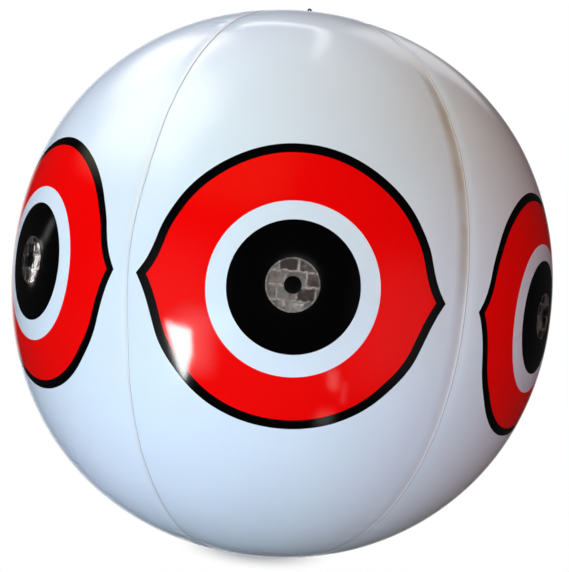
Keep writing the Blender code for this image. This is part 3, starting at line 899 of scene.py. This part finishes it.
# %% The moulded plastics
def moulding(name, colours, clouds, gloss, pits):
    """Clouds hold their scale and where the second colour starts and is full, gloss the change by the clouds
    and the middle, and pits their scale, detail and depth."""
    made, tree, shader = new_material(name)
    cloud = noise_of(object_place(tree), clouds[0], 3.0)
    colour = painted(colours[0], (cloud.smooth(*clouds[1:]), colours[1]))
    skin = bump_of(noise_of(object_place(tree), *pits[:2]), pits[2])
    feed(shader, {"Base Color": colour, "Roughness": cloud * gloss[0] + gloss[1], "Normal": skin})
    print(name, "has", len(tree.nodes), "nodes")
    return made


BLACKS = (0.012, 0.012, 0.014), (0.03, 0.03, 0.034)
MILKS = (0.80, 0.84, 0.88), (0.70, 0.75, 0.81)
black_moulding = moulding("black_moulding", BLACKS, (300.0, -0.5, 0.7), (0.08, 0.38), (2600.0, 3.0, 0.00001))
milky_moulding = moulding("milky_moulding", MILKS, (260.0, -0.6, 0.6), (0.06, 0.3), (2400.0, 2.0, 0.000006))

# %% [markdown]
# ## The hang loop
#
# Loop, boss and flange are one black moulding. The flange lies hidden between the cap and a backing disc,
# and the cap's hole fits round the boss. A voxel remesh of the loop and the boss, and a little smoothing,
# give the soft hollow corners that moulded plastic has where the loop grows out of the boss.

# %% Shape of the loop
LOOP_WIRE_RADIUS = 0.0007
LOOP_EYE_RADIUS = 0.003
LOOP_EYE_STRAIGHT = 0.0054
LOOP_BOSS_RADIUS = 0.0044
LOOP_BOSS_TOP = -0.0054
LOOP_BOSS_EDGE = 0.0004
LOOP_TURN = math.radians(60)
LOOP_FLANGE_RADIUS = 0.0124
FLANGE_LEVELS = (0.0003, -0.0003)
WIRE_SIDES = 16


def loop_path(cells=28):
    """The centre line of the loop's wire, from one foot in the boss over the arch to the other."""
    reach = LOOP_EYE_RADIUS + LOOP_WIRE_RADIUS
    foot = -LOOP_EYE_STRAIGHT - 0.001
    angles = [math.pi * i / cells for i in range(cells + 1)]
    arch = [(-reach * math.cos(angle), reach * math.sin(angle)) for angle in angles]
    return [(-reach, foot), (-reach, foot / 2), *arch, (reach, foot / 2), (reach, foot)]


def build_loop(work):
    path = [Vector((x * math.cos(LOOP_TURN), x * math.sin(LOOP_TURN), z)) for x, z in loop_path()]
    side = Vector((-math.sin(LOOP_TURN), math.cos(LOOP_TURN), 0))
    angles = [2 * math.pi * k / WIRE_SIDES for k in range(WIRE_SIDES)]
    rings = []
    for i, point in enumerate(path):
        along = (path[min(i + 1, len(path) - 1)] - path[max(i - 1, 0)]).normalized()
        up = along.cross(side)
        round_it = [side * math.cos(angle) + up * math.sin(angle) for angle in angles]
        rings.append([work.verts.new(point + LOOP_WIRE_RADIUS * away) for away in round_it])
    join_rings(work, rings)
    work.faces.new(rings[0])
    work.faces.new(rings[-1])
    low = pole_place(LOOP_BOSS_RADIUS, FLANGE_LEVELS[1], 1)[1]
    wide, top, edge = LOOP_BOSS_RADIUS, LOOP_BOSS_TOP, LOOP_BOSS_EDGE
    turn_outline(work, [(0, top), (wide - edge, top), (wide, top - edge), (wide, low), (0, low)], 48)


def build_loop_flange(work):
    inner, outer = LOOP_BOSS_RADIUS - 0.0006, LOOP_FLANGE_RADIUS
    top, under = FLANGE_LEVELS
    corners = ((inner, top), (outer, top), (outer, under), (inner, under))
    turn_outline(work, rounded([pole_place(*corner, 1) for corner in corners], 0.0002, 3))


print("loop", round((LOOP_EYE_RADIUS + 2 * LOOP_WIRE_RADIUS) * 2000, 1), "mm wide")

# %% Make the hang loop
loop = mesh_piece("moulded_loop", build_loop, black_moulding)
remesh = loop.modifiers.new("remesh", "REMESH")
remesh.mode = "VOXEL"
remesh.voxel_size = 0.00013
smooth = loop.modifiers.new("smooth", "SMOOTH")
smooth.factor, smooth.iterations = 0.5, 4
bpy.context.view_layer.update()
plain = bpy.data.meshes.new_from_object(loop.evaluated_get(bpy.context.evaluated_depsgraph_get()))
bpy.data.objects.remove(loop)


def build_whole_loop(work):
    work.from_mesh(plain)
    build_loop_flange(work)


mesh_piece("moulded_loop", build_whole_loop, black_moulding, "ball", "hang_loop")

# %% [markdown]
# ## The air valve
#
# The valve is a soft milky moulding. A flange is welded to the gore tips under the cap. A thin web, which
# turns inside out when the valve is pulled, carries the stem. A plug on a strap closes the stem's mouth, and
# a flap inside shuts its far end while one blows. All of it is turned, apart from straps and lugs.

# %% The valve's flange and web
BORE_RADIUS, STEM_RADIUS, STEM_LIP_RADIUS = 0.0035, 0.0047, 0.0052
STEM_MOUTH, STEM_LENGTH = BOTTOM_POLE + 0.0004, 0.0126
VALVE_HOLE_RADIUS, VALVE_FLANGE_RADIUS = 0.009, 0.02
VALVE_FLANGE, VALVE_SKIRT_WALL, VALVE_SKIRT_HEIGHT = 0.0009, 0.0009, 0.0014
WEB_THICKNESS, WEB_DEPTH, WEB_FOLD = 0.0005, 0.006, 0.00012
FIT_GAP = 0.0003
FLANGE_TOP = -FILM - FIT_GAP
FLANGE_UNDER = FLANGE_TOP - VALVE_FLANGE
SKIRT_RADIUS = VALVE_HOLE_RADIUS + VALVE_SKIRT_WALL
SKIRT_FOOT = pole_place(SKIRT_RADIUS, FLANGE_UNDER, -1)
SKIRT_TOP = SKIRT_FOOT[1] + VALVE_SKIRT_HEIGHT
print("mouth at", round(STEM_MOUTH, 4), "m, skirt's top at", round(SKIRT_TOP, 4), "m")


def build_flange(work):
    outline = [
        (VALVE_HOLE_RADIUS, SKIRT_TOP),
        (SKIRT_RADIUS, SKIRT_TOP),
        SKIRT_FOOT,
        pole_place(LOOP_FLANGE_RADIUS, FLANGE_UNDER, -1),
        pole_place(VALVE_FLANGE_RADIUS, FLANGE_UNDER, -1),
        pole_place(VALVE_FLANGE_RADIUS, FLANGE_TOP, -1),
        pole_place(LOOP_FLANGE_RADIUS, FLANGE_TOP, -1),
        pole_place(LOOP_FLANGE_RADIUS, FIT_GAP, -1),
        (VALVE_HOLE_RADIUS, pole_place(VALVE_HOLE_RADIUS, FIT_GAP, -1)[1]),
    ]
    turn_outline(work, rounded(outline, 0.00025))


def web_outline(cells=26):
    """The web as a thin cone with three soft folds, which let it turn inside out."""
    outer = (VALVE_HOLE_RADIUS - FIT_GAP, SKIRT_TOP - WEB_THICKNESS)
    inner = (STEM_RADIUS + FIT_GAP, outer[1] + WEB_DEPTH)
    line = []
    for i in range(cells + 1):
        share = i / cells
        fold = WEB_FOLD * math.sin(share * 6 * math.pi) * math.sin(share * math.pi)
        radius = outer[0] + (inner[0] - outer[0]) * share + fold
        line.append((radius, outer[1] + (inner[1] - outer[1]) * share))
    upper = [(radius, height + WEB_THICKNESS) for radius, height in reversed(line)]
    return line + upper, outer[1], inner[1]


def build_web(work):
    turn_outline(work, web_outline()[0])


# %% [markdown]
# The stem is the tube that one blows into. It has a lip at its mouth, and two lugs stand out from it, one
# for the plug's strap and one for the flap's.

# %% The stem
LUG_HALF_WIDTH, LUG_THICKNESS, LUG_DROP, LUG_OVERHANG = 0.0018, 0.0007, 0.0002, 0.0008
PLUG_HINGE_REACH, FLAP_HINGE_REACH = 0.0074, 0.0056


def add_bar(work, reaches, half_width, levels, soft):
    """Adds a bar along X with rounded edges, between two reaches and two levels."""
    low, high = (reaches[0], -half_width, levels[0]), (reaches[1], half_width, levels[1])
    made = bmesh.ops.create_cube(work, size=1)["verts"]
    for vert in made:
        vert.co = [high[axis] if vert.co[axis] > 0 else low[axis] for axis in range(3)]
    edges = list(dict.fromkeys(edge for vert in made for edge in vert.link_edges))
    bmesh.ops.bevel(work, geom=edges, offset=soft, segments=3, profile=0.5, affect="EDGES")


def build_stem(work):
    outline = [
        (BORE_RADIUS, STEM_MOUTH + STEM_LENGTH),
        (STEM_RADIUS, STEM_MOUTH + STEM_LENGTH),
        (STEM_RADIUS, STEM_MOUTH + 0.0015),
        (STEM_LIP_RADIUS, STEM_MOUTH + 0.001),
        (STEM_LIP_RADIUS, STEM_MOUTH),
        (BORE_RADIUS, STEM_MOUTH),
    ]
    turn_outline(work, rounded(outline, 0.0003))
    inside = (BORE_RADIUS + STEM_RADIUS) / 2
    top = STEM_MOUTH + STEM_LENGTH - LUG_DROP
    for reach, low in ((PLUG_HINGE_REACH, STEM_MOUTH + LUG_DROP), (FLAP_HINGE_REACH, top - LUG_THICKNESS)):
        add_bar(work, (inside, reach + LUG_OVERHANG), LUG_HALF_WIDTH, (low, low + LUG_THICKNESS), 0.0002)


print("stem", round(STEM_LENGTH * 1000, 1), "mm long, bore", round(BORE_RADIUS * 2000, 1), "mm")

# %% [markdown]
# The plug's nose is a bullet, so that it can swing out of the bore past the far edge. Its strap and pull tab
# are thin, and the head has a shallow dish where the thumb presses. A bead on each strap is its hinge.

# %% The plug and the flap
PLUG_HEAD_RADIUS, PLUG_HEAD, PLUG_NOSE_LENGTH, PLUG_PLAY = 0.0052, 0.0013, 0.0042, 0.00002
PLUG_DISH_RADIUS, PLUG_DISH_FLOOR, PLUG_DISH_DEPTH = 0.0036, 0.0030, 0.00035
PLUG_TAB_REACH, PLUG_TAB_HALF_WIDTH = 0.0074, 0.0017
STRAP_HALF_WIDTH, STRAP_THICKNESS, STRAP_ROOT = 0.0018, 0.0009, PLUG_HEAD_RADIUS - 0.0004
PLUG_BEAD_RADIUS, FLAP_BEAD_RADIUS, BEAD_HALF_LENGTH = 0.0006, 0.00045, 0.002
FLAP_RADIUS, FLAP, FLAP_STRAP = 0.0043, 0.0006, 0.0004
PLUG_HINGE_HEIGHT = STEM_MOUTH + LUG_DROP - FIT_GAP - PLUG_BEAD_RADIUS
FLAP_HINGE_HEIGHT = STEM_MOUTH + STEM_LENGTH - LUG_DROP + FIT_GAP + FLAP_BEAD_RADIUS


def add_bead(work, reach, height, radius):
    """Adds the round bead across a strap that is its hinge."""
    start, stop = (Vector((reach, side, height)) for side in (-BEAD_HALF_LENGTH, BEAD_HALF_LENGTH))
    turn = (stop - start).to_track_quat("Z", "Y").to_matrix().to_4x4()
    place = Matrix.Translation((start + stop) / 2) @ turn
    sizes = {"segments": 24, "radius1": radius, "radius2": radius, "depth": (stop - start).length}
    bmesh.ops.create_cone(work, cap_ends=True, matrix=place, **sizes)


def nose_radius(depth):
    """The nose at a depth into the bore, slim enough to clear the bore's far edge as it swings."""
    drop = PLUG_HINGE_HEIGHT - STEM_MOUTH
    swing = math.hypot(PLUG_HINGE_REACH + BORE_RADIUS, drop) - FIT_GAP
    return min(BORE_RADIUS - FIT_GAP, math.sqrt(swing**2 - (depth - drop) ** 2) - PLUG_HINGE_REACH)


def build_plug(work):
    depths = [PLUG_NOSE_LENGTH - (PLUG_NOSE_LENGTH + FIT_GAP) * i / 10 for i in range(11)]
    under = STEM_MOUTH - FIT_GAP
    over = under - PLUG_HEAD
    outline = [
        (0, STEM_MOUTH + PLUG_NOSE_LENGTH),
        *[(nose_radius(depth) - PLUG_PLAY, STEM_MOUTH + depth) for depth in depths],
        (PLUG_HEAD_RADIUS, under),
        (PLUG_HEAD_RADIUS, over),
        (PLUG_DISH_RADIUS, over),
        (PLUG_DISH_FLOOR, over + PLUG_DISH_DEPTH),
        (0, over + PLUG_DISH_DEPTH),
    ]
    turn_outline(work, rounded(outline, 0.00025, 3))
    half = STRAP_THICKNESS / 2
    levels = (PLUG_HINGE_HEIGHT - half, PLUG_HINGE_HEIGHT + half)
    add_bar(work, (STRAP_ROOT, PLUG_HINGE_REACH), STRAP_HALF_WIDTH, levels, 0.0002)
    add_bar(work, (-PLUG_TAB_REACH, -STRAP_ROOT), PLUG_TAB_HALF_WIDTH, levels, 0.0003)
    add_bead(work, PLUG_HINGE_REACH, PLUG_HINGE_HEIGHT, PLUG_BEAD_RADIUS)


def build_flap(work):
    under = STEM_MOUTH + STEM_LENGTH + FIT_GAP
    outline = [(0, under + FLAP), (FLAP_RADIUS, under + FLAP), (FLAP_RADIUS, under), (0, under)]
    turn_outline(work, rounded(outline, 0.0002, 3))
    middle, half = under + FLAP / 2, FLAP_STRAP / 2
    levels = (middle - half, middle + half)
    add_bar(work, (FLAP_RADIUS / 2, FLAP_HINGE_REACH), STRAP_HALF_WIDTH, levels, 0.00012)
    add_bead(work, FLAP_HINGE_REACH, FLAP_HINGE_HEIGHT, FLAP_BEAD_RADIUS)


print("hinges at", round(PLUG_HINGE_HEIGHT, 4), "and", round(FLAP_HINGE_HEIGHT, 4), "m")

# %% Make the valve
mesh_piece("moulded_flange", build_flange, milky_moulding, "ball", "valve_flange")
mesh_piece("moulded_stem", build_stem, milky_moulding, "stem", "valve_stem")
mesh_piece("moulded_plug", build_plug, milky_moulding, "plug", "valve_plug")
mesh_piece("moulded_flap", build_flap, milky_moulding, "flap", "check_flap")
web = mesh_piece("moulded_web", build_web, milky_moulding)
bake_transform(web)
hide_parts("valve_diaphragm")

# %% [markdown]
# ## Floor, background and light
#
# The ball almost touches a plain pale floor. Far from the ball the floor turns into the same white as the
# background for the camera, and near it the floor keeps its own shade and the ball's soft shadow. From below
# the floor is clear, so that the valve can be looked at.

# %% Floor
FLOOR_LEVEL = cad_bounds[0][2] - 0.0008
FLOOR_SHADE = (0.80, 0.80, 0.81, 1)
SHADOW_REACH = 0.062
floor_mesh = bpy.data.meshes.new("floor")
work = bmesh.new()
bmesh.ops.create_grid(work, x_segments=4, y_segments=4, size=4.0)
work.to_mesh(floor_mesh)
work.free()
floor_mesh.transform(Matrix.Translation((0, 0, FLOOR_LEVEL)))
floor = add_object("floor", floor_mesh)
floor.visible_glossy = False


def rays_of(tree):
    """One for rays from the camera, and one for those that gloss or glass sends on."""
    path = tree.nodes.new("ShaderNodeLightPath")
    kinds = ("Is Camera Ray", "Is Glossy Ray", "Is Transmission Ray")
    camera_ray, gloss_ray, glass_ray = [Term(path.outputs[kind]) for kind in kinds]
    return camera_ray, gloss_ray.math("MAXIMUM", glass_ray)


floor_paint, tree, shader = new_material("floor_paint")
feed(shader, {"Base Color": FLOOR_SHADE, "Roughness": 0.8, "Specular IOR Level": 0.1})
x, y, _ = parts_of(object_place(tree))
by_camera, mirrored = rays_of(tree)
turned_white = hypotenuse(x, y).smooth(0.0, SHADOW_REACH) * by_camera.math("MAXIMUM", mirrored)
white = new_term(tree, "ShaderNodeEmission", {"Color": (1, 1, 1, 1), "Strength": 1.0})
lit = new_term(tree, "ShaderNodeMixShader", {0: turned_white, 1: Term(shader.outputs[0]), 2: white})
from_below = new_term(tree, "ShaderNodeNewGeometry", output="Backfacing")
clear = new_term(tree, "ShaderNodeBsdfTransparent")
one_sided = new_term(tree, "ShaderNodeMixShader", {0: from_below, 1: lit, 2: clear})
feed(tree.nodes["Material Output"], {"Surface": one_sided})
floor_mesh.materials.append(floor_paint)
print("floor at", round(FLOOR_LEVEL, 4))

# %% [markdown]
# The world is white where the camera looks. Gloss sees the white backdrop behind the ball and a dim room in
# front of it, as in a studio where the lamps light the backdrop and the camera stands in the dark. The
# room's windows and pale walls are soft patches at an azimuth and an elevation. Here are three ways to draw
# one: a box with soft edges, an oval, and a patch with straight edges between its corners.

# %% Ways to draw a window
world = bpy.data.worlds.new("studio")
bpy.context.scene.world = world
world.use_nodes = True
tree = world.node_tree
tree.nodes.clear()
facing_right, facing_back, facing_up = parts_of(new_term(tree, "ShaderNodeTexCoord", output="Generated"))
around = facing_right.math("ARCTAN2", facing_back * -1)
up = facing_up.math("ARCSINE")


def off_azimuth(angle, middle):
    """How far an angle is from a middle azimuth in radians, the shorter way round."""
    return (angle + (math.pi - middle)).math("FLOORED_MODULO", 2 * math.pi) - math.pi


def soft_window(azimuth, elevation, half_wide, half_high, soft, brightness, tilt=0.0):
    """How bright a soft-edged window in the room looks. All but its brightness is in degrees."""
    aside = off_azimuth(around - up * tilt, math.radians(azimuth - tilt * elevation))
    above = up - math.radians(elevation)
    edge, wide, high = math.radians(soft), math.radians(half_wide), math.radians(half_high)
    return aside.near(wide - edge, wide + edge) * above.near(high - edge, high + edge) * brightness


def round_window(azimuth, elevation, half_wide, half_high, soft, brightness):
    """A bright oval in the room, in degrees, with an edge that is soft by a share of its size."""
    aside = (around - math.radians(azimuth)) / math.radians(half_wide)
    above = (up - math.radians(elevation)) / math.radians(half_high)
    return (1 - hypotenuse(aside, above).smooth(1 - soft, 1 + soft)) * brightness


def patch(corners, soft, brightness):
    """A bright patch with straight edges. Its corners run clockwise, as (azimuth, elevation) in degrees."""
    middle = sum(corner[0] for corner in corners) / len(corners)
    aside = off_azimuth(around, math.radians(middle))
    made = brightness
    for (x, y), (next_x, next_y) in zip(corners, corners[1:] + corners[:1]):
        run, rise = next_x - x, next_y - y
        length = math.hypot(run, rise)
        across = (aside - math.radians(x - middle)) * (rise / length)
        inward = across - (up - math.radians(y)) * (run / length)
        made = inward.smooth(math.radians(-soft), math.radians(soft)) * made
    return made


print("directions in the room take", len(tree.nodes), "nodes")

# %% [markdown]
# The brightest patch is the window mirrored low in the front eye. Slits far to the left put the streak in
# the left pupil, and a bar and its leg, high up, the bright line over the top. Pale walls on the camera's
# side give the film its soft shine, and those high on the left are warmer. A faint oval round the lens shows
# in the front ring of foil. What light the world gives to dull surfaces is a low, even grey.

# %% Background
ROOM_LIGHT = (0.1152, 0.1164, 0.12)
DARK_ROOM = 0.015
WARM_WHITE = (1.0, 0.88, 0.68)
WHITE = (1.0, 1.0, 1.0)
PATCHES = (
    ([(-52.4, -14.8), (-40.2, -17.4), (-40.2, -25.5), (-45.8, -35.0), (-47.8, -31.0)], 0.5, 26.0),
    ([(-122.2, 0.6), (-118.6, 0.9), (-123.8, -3.8), (-127.6, -3.4)], 0.6, 2.4),
    ([(-120.9, 3.5), (-118.0, 1.9), (-123.0, 1.7)], 0.5, 2.4),
    ([(-115.6, 8.3), (-111.0, 8.8), (-115.6, 3.4), (-120.0, 3.4)], 1.2, 0.5),
    ([(-187, 56.8), (-163, 49.3), (-165.5, 45.2), (-187, 54.0)], 0.8, 2.1),
    ([(156, 82), (168, 83.5), (174.4, 56), (170.8, 54.5)], 1.2, 1.7),
)
COOL_WINDOWS = (
    (-50, -8, 18, 15, 12, 0.20),
    (48, -10, 18, 18, 12, 0.17),
    (-38, -22, 6, 9, 5, 1.4),
    (155, 40, 11, 12, 4, 0.8),
    (23.2, -30.4, 2.4, 3.8, 1.2, 1.5, -0.39),
    (30.5, -34.8, 0.9, 4.0, 0.8, 0.9, -0.39),
    (26, -46.5, 4.5, 3.0, 2.5, 1.0),
)
WARM_WINDOWS = ((-86, 46, 26, 17, 10, 3.0), (-135, 47, 20, 10, 8, 2.4))
LENS_OUTER = (1.1, 0.2, 9.4, 7.5, 0.10, 0.6)
LENS_INNER = (0.9, 0.1, 4.6, 3.8, 0.15, 0.6)

cool_room = sum(soft_window(*window) for window in COOL_WINDOWS) + sum(patch(*window) for window in PATCHES)
cool_room = cool_room + round_window(*LENS_OUTER) - round_window(*LENS_INNER)
cool_room = cool_room + facing_back.smooth(0.86, 0.96).math("MAXIMUM", DARK_ROOM)
warm_room = sum(soft_window(*window) for window in WARM_WINDOWS)
seen_in_gloss = vector_of(*[cool_room + warm_room * share for share in WARM_WHITE])
by_camera, mirrored = rays_of(tree)
colour = painted(ROOM_LIGHT, (mirrored, seen_in_gloss), (by_camera, WHITE))
sky = new_term(tree, "ShaderNodeBackground", {"Color": colour, "Strength": 1.0})
add_node(tree, "ShaderNodeOutputWorld", {"Surface": sky})
print("world has", len(tree.nodes), "nodes")

# %% [markdown]
# Four soft lamps light the film, each named by where it stands: an azimuth from the camera's side round to
# the right, and an elevation. Lamps mix their colours on the film, so none of them is plain white. They are
# hidden from the camera and from gloss, because the room's windows above are what the gloss shows.


# %% Lamps
def lamp(name, azimuth, elevation, distance, size, power, colour):
    """A soft lamp that faces the ball."""
    around, up = math.radians(azimuth), math.radians(elevation)
    away = Vector((math.sin(around) * math.cos(up), -math.cos(around) * math.cos(up), math.sin(up)))
    light = bpy.data.lights.new(name, "AREA")
    light.shape = "RECTANGLE"
    light.size, light.size_y = size
    light.energy = power
    light.color = colour
    made = add_object(name, light)
    made.location = BALL_CENTRE + away * distance
    made.rotation_euler = (-away).to_track_quat("-Z", "Y").to_euler()
    made.visible_camera = False
    made.visible_glossy = False


lamp("high_left", -105, 60, 1.6, (1.0, 1.0), 24.7, (0.73, 0.79, 1.0))
lamp("front_high", -25, 40, 1.6, (1.0, 1.0), 8.84, (1.0, 0.87, 0.354))
lamp("low", -20, -20, 0.8, (0.6, 0.3), 10.43, (0.587, 0.832, 1.0))
lamp("right", 60, 15, 1.6, (0.6, 0.6), 2.9, (1.0, 0.2, 0.2))
print("lamps", [light.name for light in bpy.data.lights])
